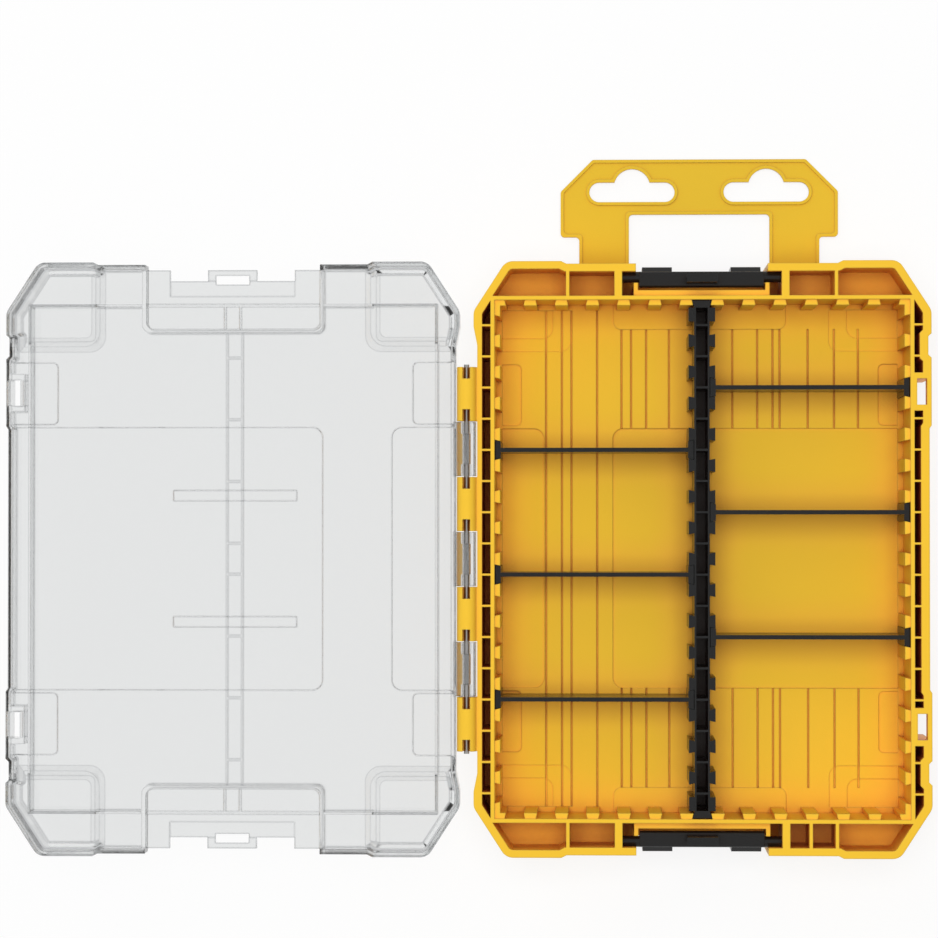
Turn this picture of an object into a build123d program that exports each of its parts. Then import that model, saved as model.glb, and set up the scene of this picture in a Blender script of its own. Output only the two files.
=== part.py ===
from build123d import *
import os

# The case lies on its back. X runs from the hinge to the far side, Y up to the hanger,
# Z from the back to the lid. The origin is the middle of the underside. Sizes are in mm.

# Rows of dovetail sockets for the dividers, which set the size of the case
socket_pitch = 11.75
side_teeth = 8
end_teeth = 7
side_row_margin = 3.7
end_row_margin = 1.725
tooth_depth = 2.1
tooth_root_width = 4.1
tooth_end_width = 5.0
tooth_drop = 1.0

# Walls and pockets round the compartments
inner_wall = 1.5
pocket_width = 9.2
end_wall = 2.9
cell_width = 3.2
far_wall = 3.2
hinge_wall = 1.8
pocket_depth = 24.0
pocket_rib = 1.3
pocket_rib_inset = 0.5
extra_rib_x = 40.7
cell_rung = 0.8
cell_end_reach = 0.6

# Case outline, shared by the tray and the lid
corner_cut_x = 12.2
corner_cut_y = 18.8
corner_radius = 5.0
end_step = 1.0
end_step_run = 2.0
far_middle_step = 0.8
far_notch_step = 1.2
far_step_run = 1.2
far_pad_length = 8.7
end_pad_inner_x = 53.0
hinge_side_step = 1.4
hinge_pad_length = 5.9
hinge_taper_run = 7.0

# Tray
base_height = 38.0
floor_thickness = 2.0
panel_depth = 0.6
field_height = 0.4
groove_width = 0.7
groove_depth = 0.6
long_floor_grooves = (-59.1, -53.0, -49.3, -39.4)
end_floor_grooves = (-30.0, -26.3, -20.5, -11.7, 12.6, 22.2, 28.1, 30.8, 41.6, 51.7, 60.9)
floor_pad_reach_x = 21.6
floor_pad_reach_y = 13.0
floor_pad_border_x = 6.9
floor_pad_border_y = 5.0
floor_side_panel_inset = 9.5
floor_field_reach = 9.5
outer_panel_depth = 0.8
outer_panel_margin = 6.0
outer_panel_gap = 3.0

# Panels of the tray's floor and the lid's top, as distances from the compartment's walls
panel_end_inset = 47.7
middle_panel_inset = 44.7
hinge_panel_inset = 18.3
panel_radius = 4.0
latch_panel_half_width = 33.1
latch_panel_reach = 10.9
latch_panel_radius = 3.0
pad_reach_x = 28.4
pad_reach_y = 18.9
pad_radius = 6.0
side_panel_half_length = 11.8

# Through slots in the far side
side_slot_inset = 34.8
side_slot_length = 9.8
side_slot_width = 3.7
side_slot_outer_skin = 1.7
side_slot_bridge = 6.0
slot_block_length = 14.3
slot_pad_length = 25.4

# Latch bays and latches
bay_half_width = 30.0
bay_wall = 2.9
bay_mouth_margin = 0.8
bay_lip = 1.6
bay_lip_drop = 4.0
bay_lip_bar = 2.3
bay_lip_axle_gap = 0.2
axle_reach = 7.4
axle_drop = 7.0
axle_radius = 2.1
axle_seat_depth = 2.0
axle_clearance = 0.1
latch_half_width = 23.5
latch_side_gap = 0.5
lever_length = 20.0
lever_thickness = 2.0
lever_cap_height = 2.2
lug_inner_x = 11.1
lug_width = 11.3
lug_reach = 3.9
lug_chamfer = 2.3
hook_half_width = 5.8
hook_inner_offset = 2.6
hook_thickness = 1.4
hook_nose_reach = 1.5
hook_nose_height = 2.0
hook_height = 10.4
hook_side_gap = 0.5
hook_slot_gap = 0.2

# Lid
parting_gap = 0.3
lid_depth = 11.5
lid_wall = 2.0
lid_edge = 1.8
pad_ledge = 0.4
pad_rise = 2.2
pad_draft = 57.0
lid_panel_depth = 0.8
latch_shelf_thickness = 2.7
latch_notch_half_width = 23.6
latch_notch_reach = 5.9
notch_side_step = 2.1
loop_bar = 2.1
loop_side_bar = 3.0
side_panel_inset = 10.3
bar_half_length = 23.5
bar_y = 24.0
bar_width = 3.9
lid_rib_inset_x = 0.5
lid_rib_inset_y = 1.3
lid_rib = 1.0
spine_rib_x = 2.9
spine_rib = 0.7
spine_rib_height = 0.8
spine_tick_sockets = (0.5, 2.5, 4.5, 6.5)
shelf_step = 0.8
shelf_rib_height = 0.5
recess_wall = 1.3

# Hinge
hinge_gap = 2.6
hinge_radius = 3.65
hinge_end_gap = 8.15
knuckle_count = 7
knuckle_gap = 0.3
pin_radius = 1.0
pin_clearance = 0.05
pin_overhang = 0.8
knuckle_notch_width = 2.85
knuckle_notch_length = 4.4

# Hanger in the underside
keeper_thickness = 1.0
hanger_thickness = 2.0
slide_gap = 0.2
hanger_half_width = 53.5
hanger_reach = 41.8
hanger_rest_inset = 0.2
hanger_corner_cut = 12.4
hanger_head_height = 30.0
hanger_shoulder_width = 7.2
hanger_leg_width = 19.2
hanger_leg_hold = 52.3
hanger_bridge_height = 21.3
hanger_corner_radius = 1.5
hanger_stop_reach = 1.5
hanger_stop_length = 4.0
hanger_side_gap = 0.3
hanger_rim = 1.2
hanger_sink = 0.6
guide_wall = 2.0
keeper_length = 8.0
keeper_offsets = (-20.0, 8.0)
under_rib = 1.2
under_rib_pitch = 30.0
centre_pad_length = 30.0

# Hang slots
hang_slot_x = 25.9
hang_slot_drop = 12.6
hang_slot_length = 32.9
hang_slot_height = 7.6
hang_hump_radius = 7.0
hang_hump_rise = 5.2

# Dividers
divider_clearance = 0.2
divider_end_gap = 0.25
divider_floor_gap = 0.3
divider_drop = 0.5
divider_plate = 1.6
centre_box_width = 5.8
centre_box_wall = 0.7
centre_rung = 0.8
centre_floor = 1.2
centre_collar_length = 5.2
centre_collar_gap = 0.9
left_sockets = (3.5, -0.5, -4.5)
right_sockets = (5.5, 1.5, -2.5)

# Places along X and Y that follow from the sizes above
inner_half_length = side_teeth * socket_pitch + side_row_margin
inner_half_width = (end_teeth - 0.5) * socket_pitch + end_row_margin
pocket_start_y = inner_half_length + inner_wall
case_half_length = pocket_start_y + pocket_width + end_wall + end_step
case_half_width = inner_half_width + inner_wall + cell_width + far_wall
far_pad_low_y = case_half_length - corner_cut_y - far_pad_length
hinge_pad_low_y = case_half_length - corner_cut_y - hinge_pad_length
hinge_zone_y = hinge_pad_low_y - hinge_taper_run
hinge_wall_x = -case_half_width + hinge_side_step
hinge_x = -case_half_width - hinge_gap
knuckle_length = 2 * (hinge_zone_y - hinge_end_gap) / knuckle_count
end_ramp_x = end_pad_inner_x - end_step_run
pocket_rib_x = end_ramp_x - pocket_rib_inset
side_slot_y = inner_half_length - side_slot_inset
slot_outer_x = case_half_width - side_slot_outer_skin
slot_inner_x = slot_outer_x - side_slot_width
panel_half_length = inner_half_length - panel_end_inset
middle_panel_x = middle_panel_inset - inner_half_width
hinge_panel_x = hinge_panel_inset - inner_half_width
latch_panel_low_y = inner_half_length - latch_panel_reach
pad_foot_x = inner_half_width - pad_reach_x
pad_foot_y = inner_half_length - pad_reach_y
axle_y = pocket_start_y + axle_reach
bay_lip_y = pocket_start_y + bay_lip_bar
lip_inner_x = latch_half_width + latch_side_gap
latch_notch_y = pocket_start_y + latch_notch_reach
notch_side_y = case_half_length - end_step - notch_side_step
side_panel_x = inner_half_width - side_panel_inset
floor_side_panel_x = inner_half_width - floor_side_panel_inset
floor_pad_x = inner_half_width - floor_pad_reach_x
floor_pad_y = inner_half_length - floor_pad_reach_y
floor_field_y = inner_half_length - floor_field_reach
lid_rib_x = inner_half_width - lid_rib_inset_x
lid_rib_y = inner_half_length - lid_rib_inset_y
slide_half_width = hanger_half_width + hanger_side_gap
leg_outer_x = hanger_half_width - hanger_shoulder_width
hanger_leg_inner_x = leg_outer_x - hanger_leg_width
hanger_top_y = case_half_length + hanger_reach
hanger_travel = hanger_reach + hanger_rest_inset
hanger_head_low_y = hanger_top_y - hanger_head_height
hanger_bridge_low_y = hanger_top_y - hanger_bridge_height
hanger_leg_end_y = case_half_length - hanger_leg_hold
hang_slot_y = hanger_top_y - hang_slot_drop

# Heights that follow from the sizes above
slide_depth = keeper_thickness + hanger_thickness + 2 * slide_gap
floor_top = slide_depth + floor_thickness
axle_z = base_height - axle_drop
pocket_floor = base_height - pocket_depth
lid_low = base_height + parting_gap
lid_top = base_height + lid_depth
shelf_top = lid_low + latch_shelf_thickness


def block(x_range, y_range, z_range):
    """A box between two corners, given as its ranges along X, Y and Z."""
    ranges = (x_range, y_range, z_range)
    middle = [(low + high) / 2 for low, high in ranges]
    return Pos(*middle) * Box(*[high - low for low, high in ranges])


def area(x_range, y_range, radius=0.0):
    """A flat rectangle between two corners, with round corners if radius is given."""
    size = (x_range[1] - x_range[0], y_range[1] - y_range[0])
    shape = RectangleRounded(*size, radius) if radius else Rectangle(*size)
    return Pos(sum(x_range) / 2, sum(y_range) / 2) * shape


def prism(shape, low, high):
    """A flat shape raised from height low to height high."""
    return extrude(Pos(0, 0, low) * shape, amount=high - low)


def outline_face(corners):
    """The flat face inside a ring of corner points."""
    return make_face(Polyline(*corners, close=True))


def both_ends(shape):
    """A shape and its mirror image at the other end of the case."""
    return [shape, mirror(shape, about=Plane.XZ)]


def both_sides(shape):
    """A shape and its mirror image across the case's middle line."""
    return [shape, mirror(shape, about=Plane.YZ)]


def case_outline():
    """The outline seen from the front, with pads at the corners and at the side slots."""
    far, top = case_half_width, case_half_length
    slot_pad = (side_slot_y - slot_pad_length / 2, side_slot_y + slot_pad_length / 2)
    upper = [
        (far - far_middle_step, slot_pad[0] - far_step_run),
        (far, slot_pad[0]),
        (far, slot_pad[1]),
        (far - far_notch_step, slot_pad[1] + far_step_run),
        (far - far_notch_step, far_pad_low_y - far_step_run),
        (far, far_pad_low_y),
        (far, top - corner_cut_y),
        (far - corner_cut_x, top),
        (end_pad_inner_x, top),
        (end_ramp_x, top - end_step),
        (-end_ramp_x, top - end_step),
        (-end_pad_inner_x, top),
        (-far + corner_cut_x, top),
        (-far, top - corner_cut_y),
        (-far, hinge_pad_low_y),
        (hinge_wall_x, hinge_zone_y),
    ]
    lower = [(x, -y) for x, y in reversed(upper)]
    face = outline_face(upper + lower)
    corners = [
        v for v in face.vertices()
        if abs(v.X) > far - corner_cut_x - 0.01 and abs(v.Y) > top - corner_cut_y - 0.01
    ]
    return fillet(corners, radius=corner_radius)


def inset_outline(wall):
    """The case outline moved inwards by a wall."""
    return offset(case_outline(), amount=-wall, kind=Kind.INTERSECTION)


def dovetail(root_width, end_width, depth):
    """A flat dovetail from the Y axis towards +X."""
    return outline_face([
        (0, -root_width / 2), (depth, -end_width / 2), (depth, end_width / 2), (0, root_width / 2),
    ])


def compartment():
    """The tray's inside seen from the front, with the rows of teeth left standing."""
    tooth = dovetail(tooth_root_width, tooth_end_width, tooth_depth)
    teeth = []
    for n in range(-side_teeth, side_teeth + 1):
        teeth.append(Pos(-inner_half_width, n * socket_pitch) * tooth)
        teeth.append(Pos(inner_half_width, n * socket_pitch) * Rot(0, 0, 180) * tooth)
    for n in range(-end_teeth, end_teeth):
        x = (n + 0.5) * socket_pitch
        teeth.append(Pos(x, -inner_half_length) * Rot(0, 0, 90) * tooth)
        teeth.append(Pos(x, inner_half_length) * Rot(0, 0, -90) * tooth)
    return Rectangle(2 * inner_half_width, 2 * inner_half_length) - teeth


def end_pockets(low, high):
    """The pockets between the end walls and the compartment, parted by ribs and the latch bays."""
    inside = inset_outline(end_wall)
    strips = []
    x_range = (bay_half_width + bay_wall, case_half_width)
    for strip in both_sides(area(x_range, (pocket_start_y, case_half_length))):
        strips += both_ends(strip)
    pockets = inside & Sketch() + strips
    for x in (-pocket_rib_x, pocket_rib_x):
        pockets -= area((x - pocket_rib / 2, x + pocket_rib / 2), (-case_half_length, case_half_length))
    pockets -= area((extra_rib_x - pocket_rib / 2, extra_rib_x + pocket_rib / 2), (-case_half_length, 0))
    return prism(pockets, low, high)


def side_cells():
    """The two ladders of narrow cells along the sides, with a rung behind each socket."""
    start, end = inner_half_width + inner_wall, inner_half_length + cell_end_reach
    hinge_band = area((-case_half_width, 0), (-hinge_pad_low_y, hinge_pad_low_y))
    inside = inset_outline(far_wall) + (inset_outline(hinge_wall) & hinge_band)
    far = inside & area((start, case_half_width), (-end, end))
    near = inside & area((-case_half_width + far_wall, -start), (-end, end))
    cells = far + near
    for n in range(-side_teeth, side_teeth):
        y = (n + 0.5) * socket_pitch
        cells -= area((-case_half_width, case_half_width), (y - cell_rung / 2, y + cell_rung / 2))
    slot_range = (side_slot_y - slot_block_length / 2, side_slot_y + slot_block_length / 2)
    cells -= both_ends(area((0, case_half_width), slot_range))
    return prism(cells, floor_top, base_height)


def side_slots(low, high):
    """The slots that go right through the far side from front to back."""
    y_range = (side_slot_y - side_slot_length / 2, side_slot_y + side_slot_length / 2)
    return both_ends(block((slot_inner_x, slot_outer_x), y_range, (low, high)))


def floor_grooves():
    """Narrow grooves along the tray's floor, from end to end and in the two end fields."""
    end = inner_half_length - tooth_depth
    grooves = []
    for x in long_floor_grooves:
        grooves.append(area((x - groove_width / 2, x + groove_width / 2), (-end, end)))
    for x in end_floor_grooves:
        across = (x - groove_width / 2, x + groove_width / 2)
        grooves += both_ends(area(across, (panel_half_length, floor_field_y)))
    low = floor_top - panel_depth - groove_depth
    return prism(Sketch() + grooves, low, floor_top + field_height)


def latch_fields():
    """The low raised field of the tray's floor behind each latch."""
    across = (-latch_panel_half_width, latch_panel_half_width)
    fields = both_ends(area(across, (floor_field_y, 2 * case_half_length), latch_panel_radius))
    return prism((Sketch() + fields) & compartment(), floor_top, floor_top + field_height)


def floor_panels():
    """The panels sunk into the tray's floor, and the shallower border round each corner panel."""
    side = inner_half_width - tooth_depth
    y_range = (-panel_half_length, panel_half_length)
    middle = area((middle_panel_x, 2 * side), y_range, panel_radius)
    near = area((-2 * side, hinge_panel_x), y_range, panel_radius)
    corner = area((floor_pad_x, 2 * side), (floor_pad_y, 2 * case_half_length), panel_radius)
    border_x = (floor_pad_x - floor_pad_border_x, 2 * side)
    border = area(border_x, (floor_pad_y - floor_pad_border_y, 2 * case_half_length), panel_radius)
    slot_y = (side_slot_y - side_panel_half_length, side_slot_y + side_panel_half_length)
    beside_slot = area((floor_side_panel_x, 2 * side), slot_y, panel_radius / 2)
    small, borders = [], []
    for half in both_sides(corner) + both_sides(beside_slot):
        small += both_ends(half)
    for half in both_sides(border):
        borders += both_ends(half)
    inside = area((-side, side), (-inner_half_length + tooth_depth, inner_half_length - tooth_depth))
    panels = (Sketch() + [middle, near] + small) & inside
    shallow = (Sketch() + borders) & inside
    high = floor_top + field_height
    return prism(panels, floor_top - panel_depth, high) + prism(shallow, floor_top - panel_depth / 2, high)


def latch_bay():
    """The space cut for one latch, open at the front and outwards, and at the back beyond the axle."""
    pocket_y = (pocket_start_y, pocket_start_y + pocket_width)
    pocket = block((-bay_half_width, bay_half_width), pocket_y, (floor_top, base_height))
    mouth_half = lip_inner_x + bay_mouth_margin
    mouth = block((-mouth_half, mouth_half), (bay_lip_y, case_half_length), (floor_top, base_height))
    back = block((-mouth_half, mouth_half), (axle_y, case_half_length), (0, floor_top))
    seat_half = bay_half_width + axle_seat_depth + axle_clearance
    seat = Pos(0, axle_y, axle_z) * Rot(0, 90, 0) * Cylinder(axle_radius + axle_clearance, 2 * seat_half)
    return pocket + mouth + back + seat


def latch_lip():
    """The low U-shaped lip round the inner side of one latch."""
    outer = lip_inner_x + bay_lip
    height = (slide_depth, base_height - bay_lip_drop)
    end = axle_y - axle_radius - bay_lip_axle_gap
    bar = block((-outer, outer), (pocket_start_y, bay_lip_y), height)
    return Part() + [bar] + both_sides(block((lip_inner_x, outer), (pocket_start_y, end), height))


def knuckle_ranges(first):
    """The spans along Y of every second hinge knuckle, from the first or the second one."""
    start = -knuckle_count * knuckle_length / 2
    spans = []
    for n in range(first, knuckle_count, 2):
        low = start + n * knuckle_length + knuckle_gap / 2
        spans.append((low, low + knuckle_length - knuckle_gap))
    return spans


def knuckle(span, web_side):
    """One hinge knuckle with its web to the wall, on the lower (-1) or upper (+1) side of the axis."""
    low, high = span
    centre = Pos(hinge_x, (low + high) / 2, base_height) * Rot(90, 0, 0)
    barrel = centre * Cylinder(hinge_radius, high - low)
    web_z = sorted((base_height, base_height + web_side * hinge_radius))
    web = block((hinge_x, hinge_wall_x + hinge_wall / 2), span, web_z)
    bore = centre * Cylinder(pin_radius + pin_clearance, 2 * knuckle_length)
    across = (hinge_x - knuckle_notch_width / 2, hinge_x + knuckle_notch_width / 2)
    notch_z = sorted((base_height, base_height - web_side * 2 * hinge_radius))
    notches = [
        block(across, (low, low + knuckle_notch_length), notch_z),
        block(across, (high - knuckle_notch_length, high), notch_z),
    ]
    return barrel + web - bore - notches


def hanger_guides():
    """Rails and straps under the floor that hold the hanger, and ribs that stiffen the back."""
    inner_x = hanger_leg_inner_x - hanger_side_gap
    stop_x = leg_outer_x + hanger_side_gap
    wide_x = stop_x + hanger_stop_reach
    rail_x = wide_x + guide_wall
    retracted_end_y = hanger_leg_end_y - hanger_travel - hanger_side_gap
    stop_y = hanger_leg_end_y + hanger_stop_length + hanger_side_gap
    shoulder_y = hanger_head_low_y - hanger_travel - hanger_corner_radius - hanger_side_gap
    bottom = retracted_end_y - guide_wall
    head_y = (shoulder_y, case_half_length - end_wall)
    strap_x = (inner_x - guide_wall, rail_x)
    height = (0, slide_depth)
    half = [
        block((inner_x - guide_wall, inner_x), (bottom, shoulder_y), height),
        block((wide_x, rail_x), (bottom, shoulder_y), height),
        block((stop_x, rail_x), (stop_y, shoulder_y), height),
        block(strap_x, (bottom, retracted_end_y), height),
        block((slide_half_width, slide_half_width + guide_wall), head_y, height),
    ]
    for offset_y in keeper_offsets:
        low = hanger_leg_end_y + offset_y
        half.append(block(strap_x, (low, low + keeper_length), (0, keeper_thickness)))
    guides = []
    for piece in half:
        guides += both_sides(piece)
    guides += back_ribs(rail_x, bottom)
    return guides


def back_ribs(rail_x, rail_low_y):
    """Thin ribs under the floor, and the flat pad in the middle of the back."""
    side = case_half_width - hinge_side_step - hinge_wall
    height = (keeper_thickness, slide_depth)
    pad_y = (-centre_pad_length / 2, centre_pad_length / 2)
    pad_half = hanger_leg_inner_x - hanger_side_gap
    ribs = [block((-pad_half, pad_half), pad_y, (0, slide_depth))]
    for n in range(-3, 1):
        y = n * under_rib_pitch
        ribs.append(block((-side, side), (y - under_rib / 2, y + under_rib / 2), height))
    x_range = (rail_x + guide_wall, rail_x + guide_wall + under_rib)
    long_y = (-inner_half_length, rail_low_y + under_rib_pitch)
    ribs += both_sides(block(x_range, long_y, height))
    return ribs


def outer_panels():
    """Shallow panels in the outer walls: one in the far side, two at each end."""
    height = (outer_panel_margin, base_height - outer_panel_margin)
    far_face = case_half_width - far_middle_step
    end_face = case_half_length - end_step
    far_half = side_slot_y - slot_pad_length / 2 - far_step_run - outer_panel_margin
    far_y = (-far_half, far_half)
    end_x = (bay_half_width + bay_wall + outer_panel_gap, end_ramp_x - outer_panel_gap)
    panels = [block((far_face - outer_panel_depth, case_half_width), far_y, height)]
    for end in both_sides(block(end_x, (end_face - outer_panel_depth, case_half_length), height)):
        panels += both_ends(end)
    return panels


def base_tray():
    """The yellow tray: one moulding with compartment, pockets, latch bays, knuckles and guides."""
    body = prism(case_outline(), 0, base_height)
    body -= prism(compartment(), floor_top, base_height)
    rim_band = Rectangle(2 * inner_half_width, 2 * inner_half_length)
    body -= prism(rim_band, base_height - tooth_drop, base_height)
    body += latch_fields()
    body -= floor_panels()
    body -= floor_grooves()
    body -= prism(inset_outline(end_wall), 0, slide_depth)
    body -= end_pockets(pocket_floor, base_height)
    body -= end_pockets(0, pocket_floor - floor_thickness)
    body -= side_cells()
    slot_y = (side_slot_y - slot_block_length / 2, side_slot_y + slot_block_length / 2)
    slot_block = block((inner_half_width + inner_wall, case_half_width), slot_y, (0, base_height))
    body += both_ends(slot_block)
    bay_sides = block(
        (bay_half_width, bay_half_width + bay_wall),
        (inner_half_length, case_half_length - end_step),
        (slide_depth, base_height),
    )
    for side in both_sides(bay_sides):
        body += both_ends(side)
    body -= both_ends(latch_bay())
    body += both_ends(latch_lip())
    body += hanger_guides()
    mouth_y = (pocket_start_y + pocket_width, case_half_length)
    body -= block((-slide_half_width, slide_half_width), mouth_y, (keeper_thickness, slide_depth))
    body -= side_slots(0, base_height)
    slot_span = (side_slot_y - side_slot_length / 2, side_slot_y + side_slot_length / 2)
    slot_back = block((slot_inner_x, case_half_width), slot_span, (0, base_height - side_slot_bridge))
    body -= both_ends(slot_back)
    body -= outer_panels()
    for span in knuckle_ranges(0):
        body += knuckle(span, -1)
    return body


def sloped_outline(inset, low, foot, rise):
    """The case outline less an inset, raised to its foot and then drawn in as far as it rises."""
    outer = inset_outline(inset) if inset else case_outline()
    inner = inset_outline(inset + rise)
    slope = loft([Pos(0, 0, foot) * outer, Pos(0, 0, foot + rise) * inner], ruled=True)
    return prism(outer, low, foot) + slope


def corner_pads(wall):
    """The four corner pads of the lid with sloped inner sides, as a skin (0) or the space in it."""
    foot = lid_top - wall
    x_range = (pad_foot_x + wall, 2 * case_half_width)
    corner = area(x_range, (pad_foot_y + wall, 2 * case_half_length), pad_radius)
    pad = prism(corner, foot - lid_wall, foot)
    pad += extrude(Pos(0, 0, foot) * corner, amount=pad_rise, taper=pad_draft)
    pads = []
    for half in both_sides(pad):
        pads += both_ends(half)
    return Part() + pads


def lid_skin():
    """The lid's outer shape: its outline with sloped edges, and the raised corner pads."""
    plate = sloped_outline(0, lid_low, lid_top - lid_edge, lid_edge)
    pad_edge = sloped_outline(lid_edge + pad_ledge, lid_top - lid_wall, lid_top, pad_rise)
    return plate + (corner_pads(0) & pad_edge)


def lid_space():
    """The space inside the lid, with hollow pads and without the latch fields and slot blocks."""
    pad_inside = prism(inset_outline(lid_edge + pad_ledge + lid_wall), lid_low, lid_top + pad_rise)
    space = prism(inset_outline(lid_wall), lid_low, lid_top - lid_wall)
    space += corner_pads(lid_wall) & pad_inside
    space -= both_ends(latch_recess(recess_wall))
    slot_y = (side_slot_y - slot_block_length / 2, side_slot_y + slot_block_length / 2)
    slot_x = (slot_inner_x - side_slot_outer_skin, case_half_width)
    return space - both_ends(block(slot_x, slot_y, (lid_low, lid_top)))


def lid_panels():
    """The panels sunk into the lid's top: middle, hinge side, and beside the side slots."""
    reach = 2 * case_half_width
    y_range = (-panel_half_length, panel_half_length)
    middle = area((middle_panel_x, reach), y_range, panel_radius)
    near = area((-reach, hinge_panel_x), y_range, panel_radius)
    bar_range = (bar_y - bar_width / 2, bar_y + bar_width / 2)
    bars = both_ends(area((-bar_half_length, bar_half_length), bar_range))
    side_y = (side_slot_y - side_panel_half_length, side_slot_y + side_panel_half_length)
    sides = []
    for half in both_sides(area((side_panel_x, reach), side_y, panel_radius / 2)):
        sides += both_ends(half)
    return prism(Sketch() + [middle, near] + sides - bars, lid_top - lid_panel_depth, lid_top + pad_rise)


def rib_frame():
    """The flat shape of the rib inside the lid that runs over the compartment's edge."""
    frame = Rectangle(2 * lid_rib_x, 2 * lid_rib_y)
    return frame - Rectangle(2 * (lid_rib_x - lid_rib), 2 * (lid_rib_y - lid_rib))


def rib_spine():
    """The flat shape of the pair of ribs over the centre divider, with their short cross ribs."""
    spine_x = (spine_rib_x - spine_rib / 2, spine_rib_x + spine_rib / 2)
    spine = both_sides(area(spine_x, (-lid_rib_y, lid_rib_y)))
    for socket in spine_tick_sockets:
        y = socket * socket_pitch
        spine += both_ends(area((-spine_rib_x, spine_rib_x), (y - spine_rib / 2, y + spine_rib / 2)))
    return Sketch() + spine


def lid_inner_ribs():
    """The ribs that stand inside the lid."""
    high = lid_top - lid_wall
    root = high + lid_wall / 4
    frame = prism(rib_frame(), lid_low + parting_gap, root)
    return frame + prism(rib_spine(), high - spine_rib_height, root)


def shelf_ribs():
    """The low ribs on the shelf of each latch field, in line with those inside the lid."""
    across = (-latch_panel_half_width, latch_panel_half_width)
    fields = Sketch() + both_ends(area(across, (latch_panel_low_y, pocket_start_y)))
    return prism((rib_frame() + rib_spine()) & fields, shelf_top, shelf_top + shelf_rib_height)


def latch_recess(wall):
    """The field round one latch that is sunk into the lid, grown by a wall, as a cutter."""
    half, low = latch_panel_half_width + wall, latch_panel_low_y - wall
    shape = area((-half, half), (low, 2 * case_half_length), latch_panel_radius)
    return prism(shape, lid_low if wall else shelf_top, lid_top + pad_rise)


def latch_loop():
    """The loop on the lid's shelf that one latch hooks over."""
    half = hook_half_width + hook_side_gap + loop_side_bar
    return block((-half, half), (latch_panel_low_y, loop_slot_y()[1] + loop_bar), (lid_low, shelf_top))


def loop_slot_y():
    """The span along Y of the slot that the hook passes through."""
    inner = axle_y - hook_inner_offset - hook_slot_gap
    outer = axle_y - hook_inner_offset + hook_thickness + hook_nose_reach + hook_slot_gap
    return (inner, outer)


def lid():
    """The clear lid in its closed place, turned over about the hinge axis into its open place."""
    body = lid_skin() - lid_space()
    body -= lid_panels()
    body += lid_inner_ribs()
    body -= both_ends(latch_recess(0))
    reach = (lid_low, lid_top + pad_rise)
    side = (-latch_panel_half_width, latch_panel_half_width)
    body -= both_ends(block(side, (notch_side_y, case_half_length), reach))
    notch_x = (-latch_notch_half_width, latch_notch_half_width)
    body -= both_ends(block(notch_x, (latch_notch_y, case_half_length), reach))
    body += shelf_ribs()
    body += both_ends(latch_loop())
    step_y = (pocket_start_y, latch_notch_y)
    body -= both_ends(block(notch_x, step_y, (lid_low, lid_low + shelf_step)))
    slot_half = hook_half_width + hook_side_gap
    body -= both_ends(block((-slot_half, slot_half), loop_slot_y(), reach))
    body -= side_slots(lid_low, lid_top + pad_rise)
    for span in knuckle_ranges(1):
        body += knuckle(span, 1)
    return body.rotate(Axis((hinge_x, 0, base_height), (0, 1, 0)), 180)


def hinge_pin():
    """The steel pin through all knuckles."""
    length = knuckle_count * knuckle_length + 2 * pin_overhang
    return Pos(hinge_x, 0, base_height) * Rot(90, 0, 0) * Cylinder(pin_radius, length)


def latch():
    """One latch at the hanger's end: a rocker with a lever below its axle and a hook above it."""
    half = latch_half_width
    axle_half = bay_half_width + axle_seat_depth
    axle = Pos(0, axle_y, axle_z) * Rot(0, 90, 0) * Cylinder(axle_radius, 2 * axle_half)
    lever_y = (axle_y - lever_thickness / 2, axle_y + lever_thickness / 2)
    lever = block((-half, half), lever_y, (axle_z - lever_length, axle_z))
    barrel_y = (axle_y - 2 * lever_thickness, axle_y + lever_thickness)
    barrel_z = (axle_z - lever_thickness, axle_z + lever_cap_height)
    barrel = block((-half, half), barrel_y, barrel_z)
    barrel = fillet(barrel.edges().filter_by(Axis.X), radius=lever_thickness / 2)
    lever_z = (axle_z - lever_length, axle_z)
    lug = block((lug_inner_x, lug_inner_x + lug_width), (axle_y, axle_y + lug_reach), lever_z)
    lug = chamfer(lug.edges().filter_by(Axis.X).group_by(Axis.Y)[-1], length=lug_chamfer)
    inner = axle_y - hook_inner_offset
    hook_x = (-hook_half_width, hook_half_width)
    arm = block(hook_x, (inner, inner + hook_thickness), (axle_z, axle_z + hook_height + hook_nose_height))
    nose_y = (inner, inner + hook_thickness + hook_nose_reach)
    nose = block(hook_x, nose_y, (axle_z + hook_height, axle_z + hook_height + hook_nose_height))
    return Part() + [axle, lever, barrel, arm, nose] + both_sides(lug)


def hang_slot():
    """A hang slot for a shop hook: a long slot with a round hump over its middle."""
    slot = Pos(hang_slot_x, hang_slot_y) * SlotOverall(hang_slot_length, hang_slot_height)
    top = hang_slot_y + hang_slot_height / 2 + hang_hump_rise
    hump = Pos(hang_slot_x, top - hang_hump_radius) * Circle(hang_hump_radius)
    above = area((0, 2 * hang_slot_x), (hang_slot_y, top + 1))
    return slot + (hump & above)


def hanger_outline(inset):
    """The hanger's head, bridge and legs, moved inwards by an inset."""
    half, leg = hanger_half_width - inset, leg_outer_x - inset
    top, cut = hanger_top_y - inset, hanger_corner_cut - 0.6 * inset
    corners = [
        (half - cut, top), (half, top - cut), (half, hanger_head_low_y + inset),
        (leg, hanger_head_low_y + inset), (leg, hanger_leg_end_y),
        (hanger_leg_inner_x + inset, hanger_leg_end_y),
        (hanger_leg_inner_x + inset, hanger_bridge_low_y + inset),
    ]
    mirrored = [(-x, y) for x, y in reversed(corners)]
    face = outline_face(corners + mirrored)
    rounded = [v for v in face.vertices() if v.Y > hanger_leg_end_y + 1]
    return fillet(rounded, radius=hanger_corner_radius)


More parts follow.
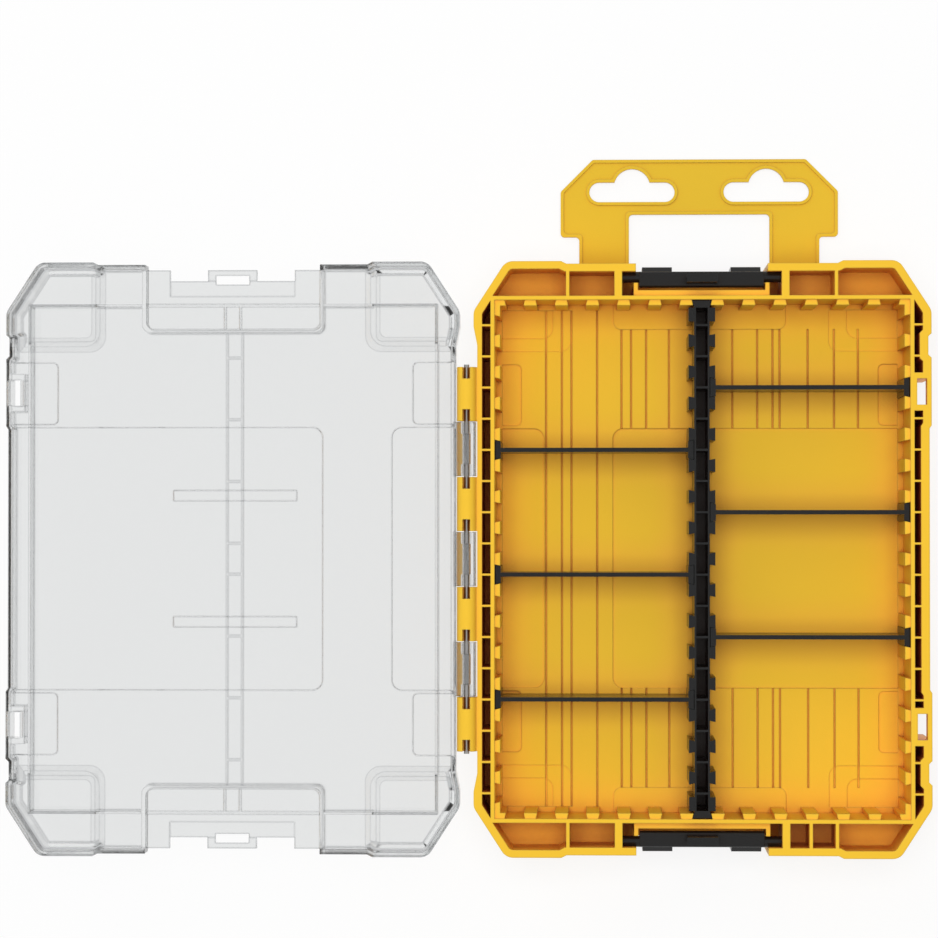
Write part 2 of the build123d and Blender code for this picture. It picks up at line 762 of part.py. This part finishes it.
def hanger():
    """The sliding hanger: a flat plate with a rim, two legs with end stops, and two hang slots."""
    low = keeper_thickness + slide_gap
    high = low + hanger_thickness
    plate = prism(hanger_outline(0), low, high)
    outside = area((-hanger_half_width, hanger_half_width), (case_half_length + hanger_rim, hanger_top_y))
    sunk = hanger_outline(hanger_rim) & outside
    sunk -= both_sides(offset(hang_slot(), amount=hanger_rim))
    plate -= prism(sunk, high - hanger_sink, high)
    stop_x = (leg_outer_x, leg_outer_x + hanger_stop_reach)
    stop_y = (hanger_leg_end_y, hanger_leg_end_y + hanger_stop_length)
    plate += both_sides(block(stop_x, stop_y, (low, high)))
    return plate - both_sides(prism(hang_slot(), low, high))


def divider_heights():
    """The lowest and highest height of the dividers."""
    return (floor_top + field_height + divider_floor_gap, base_height - tooth_drop - divider_drop)


def divider_head():
    """A dovetail head that slides in a socket, from the wall towards +X."""
    mouth = socket_pitch - tooth_end_width - 2 * divider_clearance
    back = socket_pitch - tooth_root_width - 2 * divider_clearance
    return dovetail(back, mouth, tooth_depth - divider_end_gap + divider_clearance)


def centre_divider():
    """The long divider: a ladder of open cells, with teeth on both sides and a head in each end wall."""
    low, high = divider_heights()
    reach = inner_half_length - divider_end_gap
    collar_end = inner_half_length - tooth_depth - centre_collar_gap
    half = centre_box_width / 2
    tooth = dovetail(tooth_root_width, tooth_end_width, tooth_depth)
    plan = Rectangle(centre_box_width, 2 * (reach - tooth_depth / 2))
    plan += [Pos(0, -reach) * Rot(0, 0, 90) * divider_head(), Pos(0, reach) * Rot(0, 0, -90) * divider_head()]
    collar = area((-half - tooth_depth, half + tooth_depth), (collar_end - centre_collar_length, collar_end))
    plan += both_ends(collar)
    for n in range(1 - side_teeth, side_teeth):
        plan += both_sides(Pos(half, n * socket_pitch) * tooth)
    inner = half - centre_box_wall
    cells = area((-inner, inner), (-collar_end, collar_end))
    for n in range(-side_teeth, side_teeth):
        y = (n + 0.5) * socket_pitch
        cells -= area((-inner, inner), (y - centre_rung / 2, y + centre_rung / 2))
    return prism(plan, low, high) - prism(cells, low + centre_floor, high)


def short_divider(side, socket):
    """A divider from a side wall to the centre divider, at one socket. Side is -1 or +1."""
    low, high = divider_heights()
    start = centre_box_width / 2 + divider_end_gap
    end = inner_half_width - divider_end_gap
    plan = area((start, end), (-divider_plate / 2, divider_plate / 2))
    plan += Pos(start, 0) * divider_head()
    plan += Pos(end, 0) * Rot(0, 0, 180) * divider_head()
    plate = prism(plan, low, high)
    placed = plate if side > 0 else mirror(plate, about=Plane.YZ)
    return Pos(0, socket * socket_pitch, 0) * placed


def all_nodes():
    """Every piece under its name, in its place with the lid open and the hanger out."""
    nodes = {
        "base_tray": base_tray(),
        "lid": lid(),
        "hinge_pin": hinge_pin(),
        "latch_top": latch(),
        "latch_bottom": mirror(latch(), about=Plane.XZ),
        "hanger": hanger(),
        "centre_divider": centre_divider(),
    }
    for number, socket in enumerate(left_sockets, start=1):
        nodes[f"divider_left_{number}"] = short_divider(-1, socket)
    for number, socket in enumerate(right_sockets, start=1):
        nodes[f"divider_right_{number}"] = short_divider(1, socket)
    return nodes


os.makedirs("parts", exist_ok=True)
for name, shape in all_nodes().items():
    export_step(shape, f"parts/{name}.step")
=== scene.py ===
import math

import bpy
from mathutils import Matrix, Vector

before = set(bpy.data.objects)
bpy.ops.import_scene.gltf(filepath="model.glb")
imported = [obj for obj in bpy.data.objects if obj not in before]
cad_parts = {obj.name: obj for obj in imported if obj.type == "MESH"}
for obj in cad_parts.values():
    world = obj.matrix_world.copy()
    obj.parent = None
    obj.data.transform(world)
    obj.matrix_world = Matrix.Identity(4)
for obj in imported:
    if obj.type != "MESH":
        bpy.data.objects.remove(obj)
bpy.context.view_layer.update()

# The case lies open on a sheet of matt white board and is photographed from straight above.
# A pale sky stands all round, with one wide soft lamp over the case and a weaker one beside it.
# Only the lamp beside it shows as a highlight on smooth surfaces.

scene = bpy.context.scene
scene.view_settings.view_transform = "Standard"

rim_height = 0.038
picture_middle = Vector((-0.0877, 0.0339, rim_height))
camera_height = 1.338
camera_spot = Vector((-0.040, 0.013, camera_height))
look = picture_middle - camera_spot
camera_data = bpy.data.cameras.new("camera")
camera_data.sensor_width = 36
camera_data.lens = 132.5
camera_data.clip_start = 0.05
camera_data.clip_end = 20
camera = bpy.data.objects.new("camera", camera_data)
camera.location = camera_spot
camera.rotation_euler = (math.atan2(look.y, -look.z), math.atan2(-look.x, -look.z), 0)
scene.collection.objects.link(camera)
scene.camera = camera


def feed(tree, source, socket):
    """Links a socket to the output that feeds it, or sets its value."""
    if isinstance(source, bpy.types.NodeSocket):
        tree.links.new(source, socket)
    else:
        socket.default_value = source


def calculate(tree, operation, *sources, clamped=False):
    """The result of a Math node on numbers and outputs."""
    maths = tree.nodes.new("ShaderNodeMath")
    maths.operation = operation
    maths.use_clamp = clamped
    for source, socket in zip(sources, maths.inputs):
        feed(tree, source, socket)
    return maths.outputs[0]


def mix_shaders(tree, mask, plain, marked):
    """A shader that goes from plain to marked as the mask goes from 0 to 1."""
    mix = tree.nodes.new("ShaderNodeMixShader")
    for source, socket in zip((mask, plain, marked), mix.inputs):
        feed(tree, source, socket)
    return mix.outputs[0]


def seen_directly(tree):
    """A mask of the rays from the camera, from mirroring surfaces and through clear plastic."""
    rays = tree.nodes.new("ShaderNodeLightPath").outputs
    seen = calculate(tree, "MAXIMUM", rays["Is Camera Ray"], rays["Is Transmission Ray"])
    return calculate(tree, "MAXIMUM", seen, rays["Is Glossy Ray"])


world = bpy.data.worlds.new("pale_sky")
scene.world = world
world.use_nodes = True
sky = world.node_tree
sky.nodes.clear()


def sky_light(strength):
    """White light of one strength from all round."""
    light = sky.nodes.new("ShaderNodeBackground")
    light.inputs["Color"].default_value = (1, 1, 1, 1)
    light.inputs["Strength"].default_value = strength
    return light.outputs[0]


strength_on_case = 0.34
strength_of_white = 1.0
sky_shader = mix_shaders(
    sky, seen_directly(sky), sky_light(strength_on_case), sky_light(strength_of_white))
sky_out = sky.nodes.new("ShaderNodeOutputWorld")
sky.links.new(sky_shader, sky_out.inputs["Surface"])

case_middle = Vector((-0.05, 0, 0))


def add_lamp(name, place, width, power, mirrored):
    """A square soft lamp that points at the case and doesn't show through the clear lid."""
    data = bpy.data.lights.new(name, "AREA")
    data.shape = "SQUARE"
    data.size = width
    data.energy = power
    lamp = bpy.data.objects.new(name, data)
    lamp.location = place
    lamp.visible_glossy = mirrored
    lamp.visible_transmission = False
    lamp.rotation_euler = (case_middle - Vector(place)).to_track_quat("-Z", "Y").to_euler()
    scene.collection.objects.link(lamp)


add_lamp("overhead_softbox", place=(-0.06, 0.12, 2.0), width=1.1, power=26.5, mirrored=False)
add_lamp("side_softbox", place=(-0.9, 1.1, 1.2), width=0.9, power=3.5, mirrored=True)


def new_finish(name):
    """A new material, its node tree and its Principled shader."""
    finish = bpy.data.materials.new(name)
    finish.use_nodes = True
    return finish, finish.node_tree, finish.node_tree.nodes["Principled BSDF"]


floor_reach = 6
floor_corners = [
    (-floor_reach, -floor_reach, 0), (floor_reach, -floor_reach, 0),
    (floor_reach, floor_reach, 0), (-floor_reach, floor_reach, 0)]
floor_mesh = bpy.data.meshes.new("floor")
floor_mesh.from_pydata(floor_corners, [], [(0, 1, 2, 3)])
floor = bpy.data.objects.new("floor", floor_mesh)
scene.collection.objects.link(floor)
floor_paint, tree, board = new_finish("floor_paint")
board.inputs["Base Color"].default_value = (0.94, 0.94, 0.94, 1)
board.inputs["Roughness"].default_value = 0.9
board.inputs["Specular IOR Level"].default_value = 0.1
glow = tree.nodes.new("ShaderNodeEmission")
glow.inputs["Strength"].default_value = strength_of_white
glow_share = 0.82
glow_mask = calculate(tree, "MULTIPLY", seen_directly(tree), glow_share)
floor_shader = mix_shaders(tree, glow_mask, board.outputs[0], glow.outputs[0])
tree.links.new(floor_shader, tree.nodes["Material Output"].inputs["Surface"])
floor_mesh.materials.append(floor_paint)

# The tray is one injection moulding in opaque yellow plastic with a fine satin grain: walls,
# dovetail teeth, pockets and hinge knuckles in one. The mould leaves its edges slightly rounded.
# Its deep pockets look orange from the light that their yellow walls throw on each other; here
# that orange is painted bounce light and shade in sheltered places, with a paler painted
# highlight on edges.


def mix_colours(tree, mask, plain, marked):
    """A colour that goes from plain to marked as the mask goes from 0 to 1."""
    mix = tree.nodes.new("ShaderNodeMix")
    mix.data_type = "RGBA"
    colour_sockets = (mix.inputs[6], mix.inputs[7])
    colour_output = mix.outputs[2]
    feed(tree, mask, mix.inputs["Factor"])
    for colour, socket in zip((plain, marked), colour_sockets):
        feed(tree, colour, socket)
    return colour_output


def remap(tree, source, **limits):
    """A value moved from one range to another, each from 0 to 1 where nothing else is said."""
    ranges = tree.nodes.new("ShaderNodeMapRange")
    for name, value in limits.items():
        ranges.inputs[name.replace("_", " ").title()].default_value = value
    tree.links.new(source, ranges.inputs["Value"])
    return ranges.outputs["Result"]


def build_moulded_skin():
    """The surface that a mould gives: fine grain, faint flow marks and rounded edges.

    Shade is a factor for the colour from the flow marks, Edge a mask of the edges and Deep a mask
    of sheltered places, from ambient occlusion; plastics paint a highlight on Edge and shade on
    Deep.
    """
    group = bpy.data.node_groups.new("moulded_skin", "ShaderNodeTree")
    for name, value in (
        ("Grain Size", 1800.0), ("Grain Depth", 0.12), ("Edge Radius", 0.0004),
        ("Roughness", 0.4), ("Flow", 0.06), ("Deep Reach", 0.016),
    ):
        socket = group.interface.new_socket(name, in_out="INPUT", socket_type="NodeSocketFloat")
        socket.default_value = value
    for name, kind in (
        ("Shade", "NodeSocketFloat"), ("Edge", "NodeSocketFloat"), ("Deep", "NodeSocketFloat"),
        ("Roughness", "NodeSocketFloat"), ("Normal", "NodeSocketVector"),
    ):
        group.interface.new_socket(name, in_out="OUTPUT", socket_type=kind)
    nodes, links = group.nodes, group.links
    given = nodes.new("NodeGroupInput").outputs
    made = nodes.new("NodeGroupOutput").inputs
    place = nodes.new("ShaderNodeTexCoord").outputs["Object"]

    grain = nodes.new("ShaderNodeTexNoise")
    grain.inputs["Detail"].default_value = 3
    links.new(place, grain.inputs["Vector"])
    links.new(given["Grain Size"], grain.inputs["Scale"])

    flow_marks = nodes.new("ShaderNodeTexNoise")
    flow_marks.inputs["Scale"].default_value = 22
    flow_marks.inputs["Detail"].default_value = 4
    flow_marks.inputs["Distortion"].default_value = 0.8
    links.new(place, flow_marks.inputs["Vector"])
    noise_middle, plain_shade = 0.5, 1.0
    flow = calculate(group, "SUBTRACT", flow_marks.outputs["Fac"], noise_middle)
    shade = calculate(group, "MULTIPLY_ADD", flow, given["Flow"], plain_shade)
    links.new(shade, made["Shade"])

    round_edge = nodes.new("ShaderNodeBevel")
    round_edge.samples = 4
    links.new(given["Edge Radius"], round_edge.inputs["Radius"])
    flat = nodes.new("ShaderNodeNewGeometry")
    lean = nodes.new("ShaderNodeVectorMath")
    lean.operation = "DOT_PRODUCT"
    links.new(round_edge.outputs["Normal"], lean.inputs[0])
    links.new(flat.outputs["Normal"], lean.inputs[1])
    edge = remap(group, lean.outputs["Value"], from_min=1.0, from_max=0.7)
    links.new(edge, made["Edge"])

    shelter = nodes.new("ShaderNodeAmbientOcclusion")
    shelter.samples = 4
    links.new(given["Deep Reach"], shelter.inputs["Distance"])
    open_place = 1.0
    links.new(calculate(group, "SUBTRACT", open_place, shelter.outputs["AO"]), made["Deep"])

    flow_on_roughness, edge_on_roughness = 0.25, -0.1
    roughness = calculate(group, "MULTIPLY_ADD", flow, flow_on_roughness, given["Roughness"])
    roughness = calculate(group, "MULTIPLY_ADD", edge, edge_on_roughness, roughness)
    links.new(roughness, made["Roughness"])

    bump = nodes.new("ShaderNodeBump")
    bump.inputs["Distance"].default_value = 0.0002
    links.new(given["Grain Depth"], bump.inputs["Strength"])
    links.new(grain.outputs["Fac"], bump.inputs["Height"])
    links.new(round_edge.outputs["Normal"], bump.inputs["Normal"])
    links.new(bump.outputs["Normal"], made["Normal"])
    return group


moulded_skin = build_moulded_skin()


def add_skin(tree, **values):
    """Places the moulded skin in a material, with that material's own values."""
    skin = tree.nodes.new("ShaderNodeGroup")
    skin.node_tree = moulded_skin
    for name, value in values.items():
        skin.inputs[name.replace("_", " ").title()].default_value = value
    return skin


def moulded_plastic(name, colour, painted_edge_highlight, painted_deep_bounce_and_shade, painted_deepest_bounce_and_shade, **values):
    """A moulded plastic with its own colour on faces, a painted highlight on edges, and painted
    bounce light and shade in deep places.
    """
    finish, tree, plastic = new_finish(name)
    plastic.inputs["Specular IOR Level"].default_value = 0.25
    skin = add_skin(tree, **values)
    # Painted light: the edge tone is a painted highlight, and the deep and deepest tones are
    # painted bounce light and shade in sheltered places.
    tone = mix_colours(tree, skin.outputs["Edge"], colour, painted_edge_highlight)
    tone = mix_colours(tree, skin.outputs["Deep"], tone, painted_deep_bounce_and_shade)
    deepest = remap(tree, skin.outputs["Deep"], from_min=0.90, from_max=1.0)
    tone = mix_colours(tree, deepest, tone, painted_deepest_bounce_and_shade)
    shaded = tree.nodes.new("ShaderNodeVectorMath")
    shaded.operation = "SCALE"
    tree.links.new(tone, shaded.inputs[0])
    tree.links.new(skin.outputs["Shade"], shaded.inputs["Scale"])
    tree.links.new(shaded.outputs[0], plastic.inputs["Base Color"])
    tree.links.new(skin.outputs["Roughness"], plastic.inputs["Roughness"])
    tree.links.new(skin.outputs["Normal"], plastic.inputs["Normal"])
    return finish


def dress(node, finish):
    """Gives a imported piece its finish."""
    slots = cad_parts[node].data.materials
    slots.clear()
    slots.append(finish)


# Painted light: the edge tone is a painted highlight, the orange deep tone painted bounce light
# and shade, the dark red tone painted shade in the deepest corners.
case_yellow = moulded_plastic(
    "case_yellow", colour=(0.90, 0.545, 0.035, 1), painted_edge_highlight=(0.83, 0.58, 0.08, 1),
    painted_deep_bounce_and_shade=(0.97, 0.41, 0.06, 1), painted_deepest_bounce_and_shade=(0.46, 0.09, 0.03, 1),
    roughness=0.42, edge_radius=0.0007)
dress("base_tray", case_yellow)

# The hinge pin is a steel wire, pushed through all seven knuckles of the tray and the lid.
# It was drawn to its thickness, which leaves fine lines along it, some duller than others.

pin_steel, tree, steel = new_finish("pin_steel")
steel.inputs["Metallic"].default_value = 1.0
place = tree.nodes.new("ShaderNodeTexCoord")
stretch = tree.nodes.new("ShaderNodeMapping")
stretch.inputs["Scale"].default_value = (1, 0.03, 1)
draw_lines = tree.nodes.new("ShaderNodeTexNoise")
draw_lines.inputs["Scale"].default_value = 900
tree.links.new(place.outputs["Object"], stretch.inputs["Vector"])
tree.links.new(stretch.outputs["Vector"], draw_lines.inputs["Vector"])
steel_roughness = remap(tree, draw_lines.outputs["Fac"], to_min=0.2, to_max=0.36)
tree.links.new(steel_roughness, steel.inputs["Roughness"])
steel_tone = mix_colours(
    tree, draw_lines.outputs["Fac"], (0.22, 0.215, 0.21, 1), (0.44, 0.43, 0.42, 1))
tree.links.new(steel_tone, steel.inputs["Base Color"])
dress("hinge_pin", pin_steel)

# The lid is one injection moulding in clear, glossy polycarbonate, and turns on the pin by three
# knuckles. Its rounded edges and steep walls look grey, because they bend light away to the side;
# this grey is painted shade in the colour of the edges and of the slopes seen edge-on.

lid_clear, tree, clear = new_finish("lid_clear")
clear.inputs["Transmission Weight"].default_value = 1.0
clear.inputs["IOR"].default_value = 1.5
clear.inputs["Roughness"].default_value = 0.04
skin = add_skin(tree, grain_size=60, grain_depth=0.006, edge_radius=0.0008)
tree.links.new(skin.outputs["Normal"], clear.inputs["Normal"])
# Painted shade: the colour turns grey on sharp edges and where the surface is seen edge-on.
crease_strength = 14.0
crease = calculate(tree, "MULTIPLY", skin.outputs["Edge"], crease_strength, clamped=True)
slope = tree.nodes.new("ShaderNodeLayerWeight")
slope.inputs["Blend"].default_value = 0.3
tree.links.new(skin.outputs["Normal"], slope.inputs["Normal"])
painted_shade_places = calculate(tree, "MAXIMUM", slope.outputs["Facing"], crease)
clear_tone_with_painted_shade = mix_colours(tree, painted_shade_places, (0.795, 0.805, 0.805, 1), (0.42, 0.43, 0.44, 1))
tree.links.new(clear_tone_with_painted_shade, clear.inputs["Base Color"])

# Shadow and bounced light go straight through the clear plastic and lose a tenth at each face
passed_light = tree.nodes.new("ShaderNodeBsdfTransparent")
passed_light.inputs["Color"].default_value = (0.90, 0.90, 0.90, 1)
rays = tree.nodes.new("ShaderNodeLightPath").outputs
lighting_ray = calculate(tree, "MAXIMUM", rays["Is Shadow Ray"], rays["Is Diffuse Ray"])
lid_shader = mix_shaders(tree, lighting_ray, clear.outputs[0], passed_light.outputs[0])
tree.links.new(lid_shader, tree.nodes["Material Output"].inputs["Surface"])
dress("lid", lid_clear)

# The two latches, the long divider and the six short ones are mouldings in black satin plastic.
# The latches rock on axles in the walls of their bays. The dividers push down into the dovetail
# sockets of the tray and of each other.

# Painted light: the edge tone is a painted highlight, and the brown tones in sheltered places are
# painted yellow bounce light.
black_plastic = moulded_plastic(
    "black_plastic", colour=(0.007, 0.007, 0.007, 1), painted_edge_highlight=(0.028, 0.030, 0.030, 1),
    painted_deep_bounce_and_shade=(0.010, 0.006, 0.004, 1), painted_deepest_bounce_and_shade=(0.030, 0.014, 0.008, 1),
    roughness=0.26, grain_depth=0.2)
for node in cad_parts:
    if node.startswith(("latch_", "divider_", "centre_divider")):
        dress(node, black_plastic)

# The hanger is a flat moulded plate of the same yellow plastic, a little smoother than the tray.
# Its two legs slide in guides under the tray, and its two slots hang on shop hooks.

# Painted light: the edge tone is a painted highlight, and the orange and brown tones in sheltered
# places are painted shade.
hanger_yellow = moulded_plastic(
    "hanger_yellow", colour=(0.76, 0.49, 0.03, 1), painted_edge_highlight=(0.78, 0.58, 0.09, 1),
    painted_deep_bounce_and_shade=(0.62, 0.30, 0.02, 1), painted_deepest_bounce_and_shade=(0.50, 0.22, 0.02, 1), roughness=0.36)
dress("hanger", hanger_yellow)
